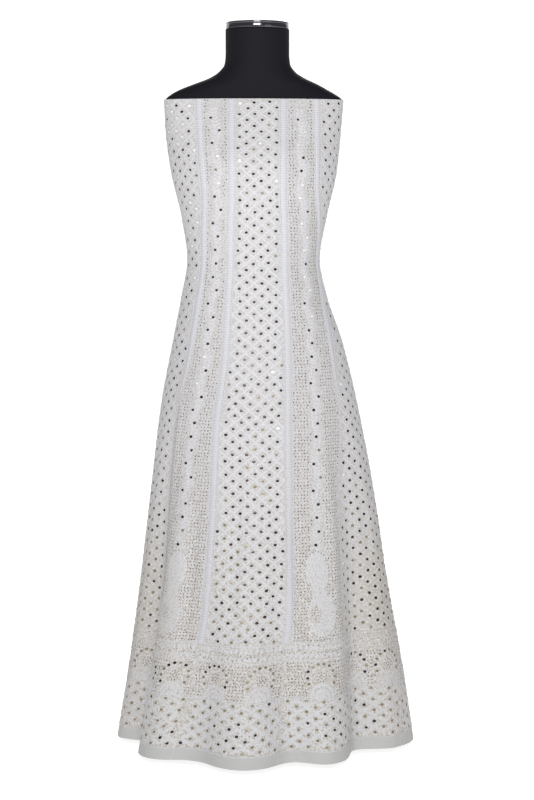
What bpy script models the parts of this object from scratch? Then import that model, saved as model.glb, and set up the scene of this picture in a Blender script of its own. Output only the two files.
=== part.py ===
"""A long white anarkali gown of ten kalis, hung straight on a limbless dress form.

The gown is an open tube: a straight top edge at the shoulders, a nipped waist and a flared skirt.
Each kali (a long flared gore) is a closed wall of cloth, a seam's gap from its neighbours.
The form is a padded torso with a neck cap, on a pole with a round base.
Lengths are in millimetres and turns in degrees. The front faces -Y, and a turn is counted from the
middle of the front towards +X. The origin is on the floor, under the middle of the base.
"""

import math
from collections import namedtuple

import bmesh
import bpy

MM = 0.001

# Cloth
TOP_EDGE = 1290.0
HEM = 14.0
WALL = 1.5
SEAM_GAP = 0.3
PANEL_COLUMNS = 8

# The form under the cloth
CONTACT_LOW = 1230.0
CONTACT_GAP = 0.6
TORSO_COLUMNS = 80
NECK_CENTRE = 4.0
NECK_TOP = 1427.7
NECK_RADIUS = 63.0

# The cap, the pole and the base
CAP_RADIUS = 62.0
CAP_LOW = 1428.0
CAP_TOP = 1442.0
CAP_ROUND = 1.5
POLE_RADIUS = 16.0
FLANGE_RADIUS = 55.0
FLANGE_THICK = 5.0
BASE_RADIUS = 155.0
BASE_RIM = 8.0
BASE_ROUND = 1.5
BOSS_RADIUS = 30.0
BOSS_TOP = 34.0
SOCKET_FLOOR = 10.0
REST_GAP = 0.3
ROUND_SIDES = 48

# The gown's outer surface without folds: half sizes of the ring at each height.
Section = namedtuple("Section", "height left right front back")
GOWN_SECTIONS = [
    Section(1290, 181, 175, 64, 83),
    Section(1230, 178, 170, 91, 95),
    Section(1150, 168, 162, 119, 102),
    Section(1060, 147, 142, 107, 95),
    Section(975, 136, 128, 96, 86),
    Section(900, 148, 143, 101, 99),
    Section(813, 165, 173, 113, 120),
    Section(693, 188, 203, 138, 148),
    Section(510, 211, 238, 173, 181),
    Section(326, 232, 264, 209, 215),
    Section(141, 256, 291, 246, 249),
    Section(14, 276, 306, 272, 273),
]

# The form below the cloth's tight band.
FORM_SECTIONS = [
    Section(1230, 175, 167, 88, 92),
    Section(1190, 163, 156, 97, 90),
    Section(1150, 152, 148, 108, 88),
    Section(1100, 140, 137, 102, 84),
    Section(1040, 124, 121, 90, 78),
    Section(975, 117, 113, 82, 74),
    Section(900, 128, 126, 86, 84),
    Section(830, 144, 145, 94, 98),
    Section(770, 148, 150, 98, 104),
    Section(745, 144, 146, 95, 101),
    Section(735, 136, 138, 89, 95),
]

# Shoulders and neck, above the cloth.
SHOULDER_SECTIONS = [
    Section(1295, 174, 168, 60, 79),
    Section(1301, 166, 159, 59, 77),
    Section(1310, 149, 143, 58, 74),
    Section(1321, 121, 123, 58, 70),
    Section(1333, 90, 97, 58, 67),
    Section(1345, 72, 79, 59, 65),
    Section(1360, 61, 69, 61, 63),
    Section(1380, 59, 67, 62, 63),
]

# Folds of the skirt: a ridge is a positive depth, a trough a negative one.
# Each starts at the height top, and deepens and leans from top_turn to hem_turn as it falls.
Fold = namedtuple("Fold", "hem_turn top_turn spread depth top")
FOLDS = [
    Fold(-70, -58, 14, -48, 700),
    Fold(-49, -44, 15, 20, 600),
    Fold(-30, -26, 14, -15, 420),
    Fold(-8, -8, 18, 27, 460),
    Fold(12, 8, 13, -24, 420),
    Fold(24, 26, 12, 14, 420),
    Fold(45, 51, 15, -44, 720),
    Fold(72, 70, 22, 20, 620),
    Fold(92, 90, 16, 5, 520),
    Fold(115, 112, 15, -36, 680),
    Fold(138, 134, 16, 20, 460),
    Fold(160, 156, 14, -30, 560),
    Fold(-178, -178, 17, 18, 420),
    Fold(-158, -150, 13, -26, 480),
    Fold(-135, -130, 18, 22, 520),
    Fold(-112, -106, 15, -34, 640),
    Fold(-88, -84, 16, 5, 500),
]
FOLD_GROWTH = 1.2

# Turn of each seam at each height. The skirt hangs a little turned, so they drift at the hem.
Seams = namedtuple(
    "Seams",
    "height back_inner_left back_outer_left side_left outer_left inner_left"
    " inner_right outer_right side_right back_outer_right back_inner_right",
)
SEAMS = [
    Seams(1290, -163, -139, -90, -39, -16, 17.5, 43, 90, 139, 163),
    Seams(1141, -162, -138, -90, -40, -18, 18, 47.5, 90, 138, 162),
    Seams(975, -157, -122, -88, -51, -23.5, 25, 73, 98, 124, 157),
    Seams(800, -158, -128, -91, -52, -22.5, 19.5, 57, 92, 126, 156),
    Seams(640, -160, -130, -93, -58.5, -25.5, 15.5, 50, 86, 122, 154),
    Seams(500, -162, -132, -95, -61, -25.5, 14, 42, 82, 118, 152),
    Seams(320, -166, -134, -98, -60, -27, 12.5, 39.5, 76, 114, 148),
    Seams(200, -170, -137, -101, -62, -31, 9.5, 38, 71, 110, 145),
    Seams(14, -175, -141, -107, -72, -39, 5.5, 42, 62, 105, 140),
]

Panel = namedtuple("Panel", "name left right")
PANELS = [
    Panel("front_centre", "inner_left", "inner_right"),
    Panel("front_vine_left", "outer_left", "inner_left"),
    Panel("front_vine_right", "inner_right", "outer_right"),
    Panel("front_side_left", "side_left", "outer_left"),
    Panel("front_side_right", "outer_right", "side_right"),
    Panel("back_side_left", "back_outer_left", "side_left"),
    Panel("back_side_right", "side_right", "back_outer_right"),
    Panel("back_vine_left", "back_inner_left", "back_outer_left"),
    Panel("back_vine_right", "back_outer_right", "back_inner_right"),
    Panel("back_centre", "back_inner_right", "back_inner_left"),
]

# Heights of the cloth's rows: close where the body curves, wider down the skirt.
PANEL_ROWS = [
    1290, 1260, 1230, 1190, 1150, 1105, 1060, 1015, 975, 938, 900, 858, 813, 755,
    693, 632, 571, 510, 449, 388, 326, 265, 203, 141, 78, 14,
]

Finish = namedtuple("Finish", "color roughness metallic")
WHITE_CLOTH = Finish((0.79, 0.79, 0.81), 0.8, 0.0)
BLACK_JERSEY = Finish((0.012, 0.012, 0.014), 0.85, 0.0)
CHROME = Finish((0.55, 0.56, 0.58), 0.12, 1.0)
POLE_STEEL = Finish((0.5, 0.5, 0.51), 0.3, 1.0)
BLACK_ENAMEL = Finish((0.02, 0.02, 0.022), 0.4, 0.0)


def clear_scene():
    for old in list(bpy.data.objects):
        bpy.data.objects.remove(old, do_unlink=True)


def column_value(table, column, height):
    """One column of a table at any height, on a smooth curve that never overshoots its rows."""
    rows = sorted(table, key=lambda row: row.height)
    heights = [row.height for row in rows]
    values = [getattr(row, column) for row in rows]
    height = min(max(height, heights[0]), heights[-1])
    steps = [high - low for low, high in zip(heights, heights[1:])]
    slopes = [(high - low) / step for low, high, step in zip(values, values[1:], steps)]
    tangents = [slopes[0]]
    for below, above in zip(slopes, slopes[1:]):
        level = below * above <= 0
        tangents.append(0.0 if level else 2 * below * above / (below + above))
    tangents.append(slopes[-1])
    span = 0
    while span < len(steps) - 1 and height > heights[span + 1]:
        span += 1
    t = (height - heights[span]) / steps[span]
    ends = values[span] * (1 + 2 * t) * (1 - t) ** 2 + values[span + 1] * t * t * (3 - 2 * t)
    bends = tangents[span] * t * (1 - t) ** 2 + tangents[span + 1] * t * t * (t - 1)
    return ends + steps[span] * bends


def ring_point(table, turn, height, out=0.0):
    """A point of the table's ring at this height, moved out by a distance within the ring's plane."""
    across = math.sin(math.radians(turn))
    ahead = math.cos(math.radians(turn))
    width = column_value(table, "right" if across > 0 else "left", height)
    depth = column_value(table, "front" if ahead > 0 else "back", height)
    normal = (across / width, -ahead / depth)
    size = math.hypot(*normal)
    x = width * across + out * normal[0] / size
    y = -depth * ahead + out * normal[1] / size
    return (x, y, height)


def fold_offset(turn, height):
    """How far the folds move the cloth out of its plain ring."""
    total = 0.0
    for fold in FOLDS:
        fall = (fold.top - height) / (fold.top - HEM)
        if fall <= 0:
            continue
        middle = fold.top_turn + (fold.hem_turn - fold.top_turn) * fall
        away = abs((turn - middle + 180) % 360 - 180) / fold.spread
        if away < 1:
            total += fold.depth * fall ** FOLD_GROWTH * (0.5 + 0.5 * math.cos(math.pi * away))
    return total


def gown_point(turn, height, inward=0.0):
    """A point of the gown's outer surface, or one that far under it along its normal."""
    point = ring_point(GOWN_SECTIONS, turn, height, fold_offset(turn, height))
    if not inward:
        return point
    turn_step = 0.2
    height_step = 1.0
    low = max(height - height_step, HEM)
    high = min(height + height_step, TOP_EDGE)
    before = ring_point(GOWN_SECTIONS, turn - turn_step, height, fold_offset(turn - turn_step, height))
    after = ring_point(GOWN_SECTIONS, turn + turn_step, height, fold_offset(turn + turn_step, height))
    below = ring_point(GOWN_SECTIONS, turn, low, fold_offset(turn, low))
    above = ring_point(GOWN_SECTIONS, turn, high, fold_offset(turn, high))
    along = [b - a for a, b in zip(before, after)]
    rise = [b - a for a, b in zip(below, above)]
    normal = (
        along[1] * rise[2] - along[2] * rise[1],
        along[2] * rise[0] - along[0] * rise[2],
        along[0] * rise[1] - along[1] * rise[0],
    )
    size = math.sqrt(sum(n * n for n in normal))
    return tuple(p - inward * n / size for p, n in zip(point, normal))


def panel_turns(panel, height):
    """The turns of a panel's columns at a height, pulled back from both seams by half their gap."""
    left = column_value(SEAMS, panel.left, height)
    right = column_value(SEAMS, panel.right, height)
    if right < left:
        right += 360
    edge_left = gown_point(left, height)
    edge_next = gown_point(left + 1, height)
    per_degree_left = math.dist(edge_left, edge_next)
    edge_right = gown_point(right, height)
    edge_before = gown_point(right - 1, height)
    per_degree_right = math.dist(edge_right, edge_before)
    left += SEAM_GAP / 2 / per_degree_left
    right -= SEAM_GAP / 2 / per_degree_right
    return [left + (right - left) * c / PANEL_COLUMNS for c in range(PANEL_COLUMNS + 1)]


def make_material(name, finish):
    material = bpy.data.materials.new(name)
    material.use_nodes = True
    shader = material.node_tree.nodes["Principled BSDF"]
    shader.inputs["Base Color"].default_value = (*finish.color, 1.0)
    shader.inputs["Roughness"].default_value = finish.roughness
    shader.inputs["Metallic"].default_value = finish.metallic
    material.diffuse_color = (*finish.color, 1.0)
    return material


def make_object(name, points, faces, finish, sharp_angle=40):
    """A named object from points in millimetres, with its faces turned outwards."""
    mesh = bpy.data.meshes.new(name)
    work = bmesh.new()
    verts = [work.verts.new([c * MM for c in point]) for point in points]
    for face in faces:
        work.faces.new([verts[i] for i in face])
    bmesh.ops.recalc_face_normals(work, faces=work.faces)
    work.to_mesh(mesh)
    work.free()
    mesh.shade_smooth()
    mesh.set_sharp_from_angle(angle=math.radians(sharp_angle))
    mesh.materials.append(make_material(name, finish))
    thing = bpy.data.objects.new(name, mesh)
    bpy.context.scene.collection.objects.link(thing)
    return thing


def grid_faces(rows, columns, start=0):
    faces = []
    for r in range(rows - 1):
        for c in range(columns - 1):
            corner = start + r * columns + c
            faces.append((corner, corner + 1, corner + columns + 1, corner + columns))
    return faces


def make_panel(panel):
    """A closed wall of cloth: an outer sheet, an inner sheet, and the cut edge all round."""
    outer = []
    inner = []
    for height in PANEL_ROWS:
        for turn in panel_turns(panel, height):
            outer.append(gown_point(turn, height))
            inner.append(gown_point(turn, height, WALL))
    rows = len(PANEL_ROWS)
    columns = PANEL_COLUMNS + 1
    count = rows * columns
    faces = grid_faces(rows, columns) + grid_faces(rows, columns, count)
    top = list(range(columns))
    right = [r * columns + columns - 1 for r in range(1, rows)]
    bottom = [count - 1 - c for c in range(1, columns)]
    left = [r * columns for r in range(rows - 2, -1, -1)]
    rim = top + right + bottom + left
    for a, b in zip(rim, rim[1:]):
        faces.append((a, b, b + count, a + count))
    return make_object(panel.name, outer + inner, faces, WHITE_CLOTH)


def make_ring_solid(name, rings, finish):
    """A closed body through rings of equal length, with a flat cap on the first and the last."""
    sides = len(rings[0])
    points = [point for ring in rings for point in ring]
    faces = [tuple(range(sides)), tuple(range(len(points) - sides, len(points)))]
    for r in range(len(rings) - 1):
        for c in range(sides):
            a = r * sides + c
            b = r * sides + (c + 1) % sides
            faces.append((a, b, b + sides, a + sides))
    return make_object(name, points, faces, finish)


def circle(radius, height, centre_x=0.0, sides=ROUND_SIDES):
    ring = []
    for side in range(sides):
        turn = math.tau * side / sides
        ring.append((centre_x + radius * math.cos(turn), radius * math.sin(turn), height))
    return ring


def make_torso():
    """The padded torso: it carries the cloth's top band, and is slimmer than the gown below it."""
    turns = [360 * column / TORSO_COLUMNS for column in range(TORSO_COLUMNS)]
    rings = []
    for section in reversed(FORM_SECTIONS):
        if section.height < CONTACT_LOW:
            rings.append([ring_point(FORM_SECTIONS, turn, section.height) for turn in turns])
    for height in sorted(PANEL_ROWS):
        if height >= CONTACT_LOW:
            rings.append([gown_point(turn, height, WALL + CONTACT_GAP) for turn in turns])
    for section in SHOULDER_SECTIONS:
        rings.append([ring_point(SHOULDER_SECTIONS, turn, section.height) for turn in turns])
    neck = []
    for turn in turns:
        across = math.sin(math.radians(turn))
        ahead = math.cos(math.radians(turn))
        neck.append((NECK_CENTRE + NECK_RADIUS * across, -NECK_RADIUS * ahead, NECK_TOP))
    rings.append(neck)
    return make_ring_solid("torso", rings, BLACK_JERSEY)


def make_neck_cap():
    inset = CAP_RADIUS - CAP_ROUND
    rings = [
        circle(inset, CAP_LOW, NECK_CENTRE),
        circle(CAP_RADIUS, CAP_LOW + CAP_ROUND, NECK_CENTRE),
        circle(CAP_RADIUS, CAP_TOP - CAP_ROUND, NECK_CENTRE),
        circle(inset, CAP_TOP, NECK_CENTRE),
    ]
    return make_ring_solid("neck_cap", rings, CHROME)


def make_pole():
    """The upright and the round flange that the torso's flat underside sits on."""
    flange_top = FORM_SECTIONS[-1].height - REST_GAP
    flange_low = flange_top - FLANGE_THICK
    rings = [
        circle(POLE_RADIUS, SOCKET_FLOOR + REST_GAP),
        circle(POLE_RADIUS, flange_low),
        circle(FLANGE_RADIUS, flange_low),
        circle(FLANGE_RADIUS, flange_top),
    ]
    return make_ring_solid("pole", rings, POLE_STEEL)


def make_base():
    """A weighted disc with a boss, whose blind socket holds the pole."""
    socket = POLE_RADIUS + REST_GAP
    rings = [
        circle(BASE_RADIUS - BASE_ROUND, 0.0),
        circle(BASE_RADIUS, BASE_ROUND),
        circle(BASE_RADIUS, BASE_RIM - BASE_ROUND),
        circle(BASE_RADIUS - BASE_ROUND, BASE_RIM),
        circle(BOSS_RADIUS, BASE_RIM + BASE_ROUND),
        circle(BOSS_RADIUS, BOSS_TOP - BASE_ROUND),
        circle(BOSS_RADIUS - BASE_ROUND, BOSS_TOP),
        circle(socket, BOSS_TOP),
        circle(socket, SOCKET_FLOOR),
    ]
    return make_ring_solid("base", rings, BLACK_ENAMEL)


def main():
    clear_scene()
    for panel in PANELS:
        make_panel(panel)
    make_torso()
    make_neck_cap()
    make_pole()
    make_base()


main()
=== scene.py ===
# %% [markdown]
# # A white anarkali gown on a dress form
# The gown is ten long flared gores, called kalis, sewn side by side into an open tube. White thread, small
# mirrors and flat metal dots cover it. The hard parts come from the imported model, and this script gives
# them their looks. Everything that lies on the cloth is made from one description of its surface, so a
# leaf or a mirror sits on the fold that is under it.

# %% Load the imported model
import math
from collections import namedtuple

import bpy
import numpy as np
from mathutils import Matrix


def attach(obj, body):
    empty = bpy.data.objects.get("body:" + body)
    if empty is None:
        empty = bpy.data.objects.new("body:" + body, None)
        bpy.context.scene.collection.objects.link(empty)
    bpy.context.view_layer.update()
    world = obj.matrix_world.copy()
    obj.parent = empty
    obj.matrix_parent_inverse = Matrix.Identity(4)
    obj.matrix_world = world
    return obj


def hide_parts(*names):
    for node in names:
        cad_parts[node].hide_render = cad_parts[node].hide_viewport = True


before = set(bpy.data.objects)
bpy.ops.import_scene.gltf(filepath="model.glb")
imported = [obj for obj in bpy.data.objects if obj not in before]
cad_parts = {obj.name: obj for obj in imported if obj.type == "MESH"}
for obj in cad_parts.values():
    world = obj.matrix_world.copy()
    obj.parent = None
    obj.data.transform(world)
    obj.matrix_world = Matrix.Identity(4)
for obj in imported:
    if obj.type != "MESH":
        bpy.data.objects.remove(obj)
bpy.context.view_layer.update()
chance = np.random.default_rng(7)
MM = 0.001
print("solids:", len(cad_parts))

# %% [markdown]
# ## The camera
# The photograph looks a little down on the gown from about four metres, slightly from its left. A long
# lens keeps the hem and the shoulders in proportion. The angle was found from the curve of the hem.

# %% Camera
CAMERA_DISTANCE = 4.2
CAMERA_HEIGHT = 1.097
CAMERA_PITCH = math.radians(5.5)
CAMERA_YAW = math.radians(-3.0)
CAMERA_ASIDE = 0.023
LENS = 94.5

camera_data = bpy.data.cameras.new("camera")
camera_data.lens = LENS
camera_data.sensor_width = 36
camera = bpy.data.objects.new("camera", camera_data)
bpy.context.scene.collection.objects.link(camera)
camera.location = (
    math.sin(CAMERA_YAW) * CAMERA_DISTANCE + math.cos(CAMERA_YAW) * CAMERA_ASIDE,
    -math.cos(CAMERA_YAW) * CAMERA_DISTANCE + math.sin(CAMERA_YAW) * CAMERA_ASIDE,
    CAMERA_HEIGHT,
)
camera.rotation_euler = (math.radians(90) - CAMERA_PITCH, 0, CAMERA_YAW)
bpy.context.scene.camera = camera
print("camera at", [round(c, 2) for c in camera.location])

# %% [markdown]
# ## The cloth's surface
# A body in cloth is easiest to describe as a stack of half-ellipses: at each height the ring reaches a
# known way to the left, right, front and back. A smooth curve joins the rows. The folds then push the ring
# in or out, more and more towards the hem. These are the solids' own numbers, in millimetres and degrees,
# with the front at turn 0 and the right side at turn 90.

# %% Rings of the gown and the form
TOP_EDGE = 1290.0
HEM = 14.0
WALL = 1.5

Section = namedtuple("Section", "height left right front back")
GOWN_SECTIONS = [
    Section(1290, 181, 175, 64, 83),
    Section(1230, 178, 170, 91, 95),
    Section(1150, 168, 162, 119, 102),
    Section(1060, 147, 142, 107, 95),
    Section(975, 136, 128, 96, 86),
    Section(900, 148, 143, 101, 99),
    Section(813, 165, 173, 113, 120),
    Section(693, 188, 203, 138, 148),
    Section(510, 211, 238, 173, 181),
    Section(326, 232, 264, 209, 215),
    Section(141, 256, 291, 246, 249),
    Section(14, 276, 306, 272, 273),
]
FORM_SECTIONS = [
    Section(1230, 175, 167, 88, 92),
    Section(1190, 163, 156, 97, 90),
    Section(1150, 152, 148, 108, 88),
    Section(1100, 140, 137, 102, 84),
    Section(1040, 124, 121, 90, 78),
    Section(975, 117, 113, 82, 74),
    Section(900, 128, 126, 86, 84),
    Section(830, 144, 145, 94, 98),
    Section(770, 148, 150, 98, 104),
    Section(745, 144, 146, 95, 101),
    Section(735, 136, 138, 89, 95),
]
SHOULDER_SECTIONS = [
    Section(1295, 174, 168, 60, 79),
    Section(1301, 166, 159, 59, 77),
    Section(1310, 149, 143, 58, 74),
    Section(1321, 121, 123, 58, 70),
    Section(1333, 90, 97, 58, 67),
    Section(1345, 72, 79, 59, 65),
    Section(1360, 61, 69, 61, 63),
    Section(1380, 59, 67, 62, 63),
    Section(1427.7, 59, 67, 63, 63),
]


def column_value(table, column, height):
    """One column of a table at any height, on a smooth curve that never overshoots its rows."""
    rows = sorted(table, key=lambda row: row.height)
    heights = [row.height for row in rows]
    values = [getattr(row, column) for row in rows]
    height = min(max(height, heights[0]), heights[-1])
    steps = [high - low for low, high in zip(heights, heights[1:])]
    slopes = [(high - low) / step for low, high, step in zip(values, values[1:], steps)]
    tangents = [slopes[0]]
    for below, above in zip(slopes, slopes[1:]):
        level = below * above <= 0
        tangents.append(0.0 if level else 2 * below * above / (below + above))
    tangents.append(slopes[-1])
    span = 0
    while span < len(steps) - 1 and height > heights[span + 1]:
        span += 1
    t = (height - heights[span]) / steps[span]
    ends = values[span] * (1 + 2 * t) * (1 - t) ** 2 + values[span + 1] * t * t * (3 - 2 * t)
    bends = tangents[span] * t * (1 - t) ** 2 + tangents[span + 1] * t * t * (t - 1)
    return ends + steps[span] * bends


def ring(table, turns, height, out=0.0):
    """Points of a table's ring at one height, moved out within its plane."""
    angle = np.radians(turns)
    across = np.sin(angle)
    ahead = np.cos(angle)
    size = {side: column_value(table, side, height) for side in ("left", "right", "front", "back")}
    width = np.where(across > 0, size["right"], size["left"])
    depth = np.where(ahead > 0, size["front"], size["back"])
    normal = np.stack([across / width, -ahead / depth], axis=-1)
    normal /= np.linalg.norm(normal, axis=-1, keepdims=True)
    flat = np.stack([width * across, -depth * ahead], axis=-1)
    flat += normal * np.asarray(out)[..., None]
    return np.concatenate([flat, np.full((*flat.shape[:-1], 1), height)], axis=-1)


print("waist ring is", round(column_value(GOWN_SECTIONS, "left", 975) * 2), "mm wide")

# %% [markdown]
# ## Folds and creases
# Large folds are the solids' own. The cloth also has soft shallow creases between them, which a thick solid
# doesn't need. They are listed here: long ones down the skirt, and short slanted ones where the
# waist pulls.

# %% Folds
Fold = namedtuple("Fold", "hem_turn top_turn spread depth top")
FOLDS = [
    Fold(-70, -58, 14, -48, 700),
    Fold(-49, -44, 15, 20, 600),
    Fold(-30, -26, 14, -15, 420),
    Fold(-8, -8, 18, 27, 460),
    Fold(12, 8, 13, -24, 420),
    Fold(24, 26, 12, 14, 420),
    Fold(45, 51, 15, -44, 720),
    Fold(72, 70, 22, 20, 620),
    Fold(92, 90, 16, 5, 520),
    Fold(115, 112, 15, -36, 680),
    Fold(138, 134, 16, 20, 460),
    Fold(160, 156, 14, -30, 560),
    Fold(-178, -178, 17, 18, 420),
    Fold(-158, -150, 13, -26, 480),
    Fold(-135, -130, 18, 22, 520),
    Fold(-112, -106, 15, -34, 640),
    Fold(-88, -84, 16, 5, 500),
]
FOLD_GROWTH = 1.2

# A crease is deepest midway between its two ends. One that climbs more than this is long.
LONG_CREASE = 100
Crease = namedtuple("Crease", "low_turn low high_turn high spread depth")
CREASES = [
    Crease(-14, 190, -12, 640, 4.5, -4.5),
    Crease(2, 230, 3, 560, 5, 3.0),
    Crease(19, 120, 15, 520, 4, -4.0),
    Crease(33, 150, 36, 660, 6, 3.5),
    Crease(-38, 150, -34, 560, 5, -4.0),
    Crease(-57, 380, -52, 760, 5, 3.5),
    Crease(60, 200, 60, 620, 5, -4.0),
    Crease(84, 120, 80, 600, 6, -5.0),
    Crease(-84, 150, -78, 690, 6, -4.0),
    Crease(-99, 220, -97, 600, 5, -4.0),
    Crease(103, 160, 102, 560, 5, 4.0),
    Crease(127, 240, 124, 700, 5, -4.5),
    Crease(150, 140, 148, 520, 5, 4.0),
    Crease(176, 160, 177, 640, 6, -4.0),
    Crease(-146, 200, -142, 600, 5, -4.0),
    Crease(-122, 180, -120, 660, 6, 4.0),
    Crease(-60, 1010, -15, 975, 14, -1.2),
    Crease(20, 930, 66, 965, 14, -1.4),
    Crease(-70, 930, -25, 905, 12, -1.2),
    Crease(110, 985, 160, 960, 14, -1.4),
    Crease(-165, 950, -115, 985, 14, -1.3),
]


def turn_between(turns, middle):
    return (turns - middle + 180) % 360 - 180


def hump(distance, spread):
    """One in the middle, falling smoothly to nothing at the spread."""
    return 0.5 + 0.5 * np.cos(math.pi * np.clip(np.abs(distance) / spread, 0, 1))


def fold_offset(turns, height):
    """How far the folds move the cloth out of its plain ring."""
    total = np.zeros_like(turns, dtype=float)
    for fold in FOLDS:
        fall = (fold.top - height) / (fold.top - HEM)
        if fall <= 0:
            continue
        middle = fold.top_turn + (fold.hem_turn - fold.top_turn) * fall
        total += fold.depth * fall ** FOLD_GROWTH * hump(turn_between(turns, middle), fold.spread)
    return total


def crease_offset(turns, height):
    """How far the creases move it. A long one is followed up the cloth, and a flat one across it."""
    total = np.zeros_like(turns, dtype=float)
    for crease in CREASES:
        climb = crease.high - crease.low
        aside = crease.high_turn - crease.low_turn
        if abs(climb) > LONG_CREASE:
            along = (height - crease.low) / climb
            if not 0 < along < 1:
                continue
            off = turn_between(turns, crease.low_turn + aside * along)
            total += crease.depth * math.sin(math.pi * along) * hump(off, crease.spread)
        else:
            across = turn_between(turns, crease.low_turn) / aside
            end = np.sin(math.pi * np.clip(across, 0, 1))
            total += crease.depth * end * hump(height - crease.low - climb * across, crease.spread)
    return total


def gown_ring(turns, height):
    turns = np.asarray(turns, dtype=float)
    return ring(GOWN_SECTIONS, turns, height, fold_offset(turns, height) + crease_offset(turns, height))


print(len(FOLDS), "folds and", len(CREASES), "creases")

# %% [markdown]
# ## A flat map of each kali
# Embroidery is drawn on flat cloth before the gown is sewn. So each kali gets a map: u is the distance
# across it from its middle line, and v is the distance up from its hem, both in millimetres on the cloth.
# The map is a grid of surface points at even steps, so any (u, v) is found by blending four of them.

# %% Seams and kalis
Seams = namedtuple(
    "Seams",
    "height back_inner_left back_outer_left side_left outer_left inner_left"
    " inner_right outer_right side_right back_outer_right back_inner_right",
)
SEAMS = [
    Seams(1290, -163, -139, -90, -39, -16, 17.5, 43, 90, 139, 163),
    Seams(1141, -162, -138, -90, -40, -18, 18, 47.5, 90, 138, 162),
    Seams(975, -157, -122, -88, -51, -23.5, 25, 73, 98, 124, 157),
    Seams(800, -158, -128, -91, -52, -22.5, 19.5, 57, 92, 126, 156),
    Seams(640, -160, -130, -93, -58.5, -25.5, 15.5, 50, 86, 122, 154),
    Seams(500, -162, -132, -95, -61, -25.5, 14, 42, 82, 118, 152),
    Seams(320, -166, -134, -98, -60, -27, 12.5, 39.5, 76, 114, 148),
    Seams(200, -170, -137, -101, -62, -31, 9.5, 38, 71, 110, 145),
    Seams(14, -175, -141, -107, -72, -39, 5.5, 42, 62, 105, 140),
]
SEAM_GAP = 0.3
MAP_ROWS = 150
MAP_COLUMNS = 33
RING_SAMPLES = 161

Kali = namedtuple("Kali", "name left right vine")
KALIS = [
    Kali("front_centre", "inner_left", "inner_right", False),
    Kali("front_vine_left", "outer_left", "inner_left", True),
    Kali("front_vine_right", "inner_right", "outer_right", True),
    Kali("front_side_left", "side_left", "outer_left", False),
    Kali("front_side_right", "outer_right", "side_right", False),
    Kali("back_side_left", "back_outer_left", "side_left", False),
    Kali("back_side_right", "side_right", "back_outer_right", False),
    Kali("back_vine_left", "back_inner_left", "back_outer_left", True),
    Kali("back_vine_right", "back_outer_right", "back_inner_right", True),
    Kali("back_centre", "back_inner_right", "back_inner_left", False),
]
ClothMap = namedtuple("ClothMap", "points normals half v")


def cloth_map(left, right, half=None, edge=0.0):
    """A grid over the cloth between two seams, or a strip of that half width midway between two turns."""
    heights = np.linspace(HEM, TOP_EDGE, MAP_ROWS)
    rows = []
    halves = []
    for height in heights:
        turn_left, turn_right = left(height), right(height)
        if turn_right < turn_left:
            turn_right += 360
        turns = np.linspace(turn_left, turn_right, RING_SAMPLES)
        points = gown_ring(turns, height)
        reach = np.concatenate([[0], np.cumsum(np.linalg.norm(np.diff(points, axis=0), axis=1))])
        middle = reach[-1] / 2 if half is None else np.interp((turn_left + turn_right) / 2, turns, reach)
        size = reach[-1] / 2 - edge if half is None else half
        at = middle + np.linspace(-size, size, MAP_COLUMNS)
        rows.append(np.stack([np.interp(at, reach, points[:, axis]) for axis in range(3)], axis=-1))
        halves.append(size)
    grid = np.array(rows)
    climb = np.linalg.norm(np.diff(grid[:, MAP_COLUMNS // 2], axis=0), axis=1)
    v = np.concatenate([[0], np.cumsum(climb)])
    normals = np.cross(np.gradient(grid, axis=1), np.gradient(grid, axis=0))
    normals /= np.linalg.norm(normals, axis=-1, keepdims=True)
    return ClothMap(grid, normals, np.array(halves), v)


def place(cloth, u, v, lift=0.0):
    """Surface points at (u, v) on the cloth, lifted off it along its normal."""
    row = np.interp(v, cloth.v, np.arange(MAP_ROWS))
    r = np.clip(row.astype(int), 0, MAP_ROWS - 2)
    half = np.interp(v, cloth.v, cloth.half)
    column = (np.clip(u / half, -1, 1) + 1) / 2 * (MAP_COLUMNS - 1)
    c = np.clip(column.astype(int), 0, MAP_COLUMNS - 2)
    up = (row - r)[:, None]
    on = (column - c)[:, None]
    blend = []
    for grid in (cloth.points, cloth.normals):
        low = grid[r, c] * (1 - on) + grid[r, c + 1] * on
        high = grid[r + 1, c] * (1 - on) + grid[r + 1, c + 1] * on
        blend.append(low * (1 - up) + high * up)
    return blend[0] + blend[1] * np.broadcast_to(lift, u.shape)[:, None]


def seam_curve(name):
    return lambda height: column_value(SEAMS, name, height)


MAPS = {k.name: cloth_map(seam_curve(k.left), seam_curve(k.right), edge=SEAM_GAP / 2) for k in KALIS}
CLOTH_LENGTH = MAPS["front_centre"].v[-1]
print("cloth length", round(CLOTH_LENGTH), "mm; hem", round(sum(2 * m.half[0] for m in MAPS.values())), "mm")

# %% [markdown]
# ## Making materials
# Each material is a Principled shader with a few texture nodes. Colours are written as sRGB hex, as a
# painter would pick them, and one function turns them to the linear values that the renderer adds up. Fine
# relief, such as crinkle, twist, knit or orange peel, is a noise that drives a bump. So each finish only
# gives its grain: the size and depth in millimetres, how strong it is, and how many finer layers it has.

# %% Material helpers
Grain = namedtuple("Grain", "size depth strength detail")
# A Mix node's two colours and its result, by number, because its sockets share their names.
TONE_A, TONE_B, MIXED = 6, 7, 2


def linear(code):
    """An sRGB hex colour as linear red, green, blue and alpha."""
    values = [int(code[i:i + 2], 16) / 255 for i in (0, 2, 4)]
    return [v / 12.92 if v <= 0.04045 else ((v + 0.055) / 1.055) ** 2.4 for v in values] + [1.0]


def add_node(material, kind, values=(), links=(), **settings):
    """Adds a shader node with its settings, its sockets' values, and links from other nodes' outputs."""
    node = material.node_tree.nodes.new("ShaderNode" + kind)
    for name, value in settings.items():
        setattr(node, name, value)
    for socket, value in dict(values).items():
        node.inputs[socket].default_value = value
    for socket, (source, output) in dict(links).items():
        feed(material, source, output, node, socket)
    return node


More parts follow.
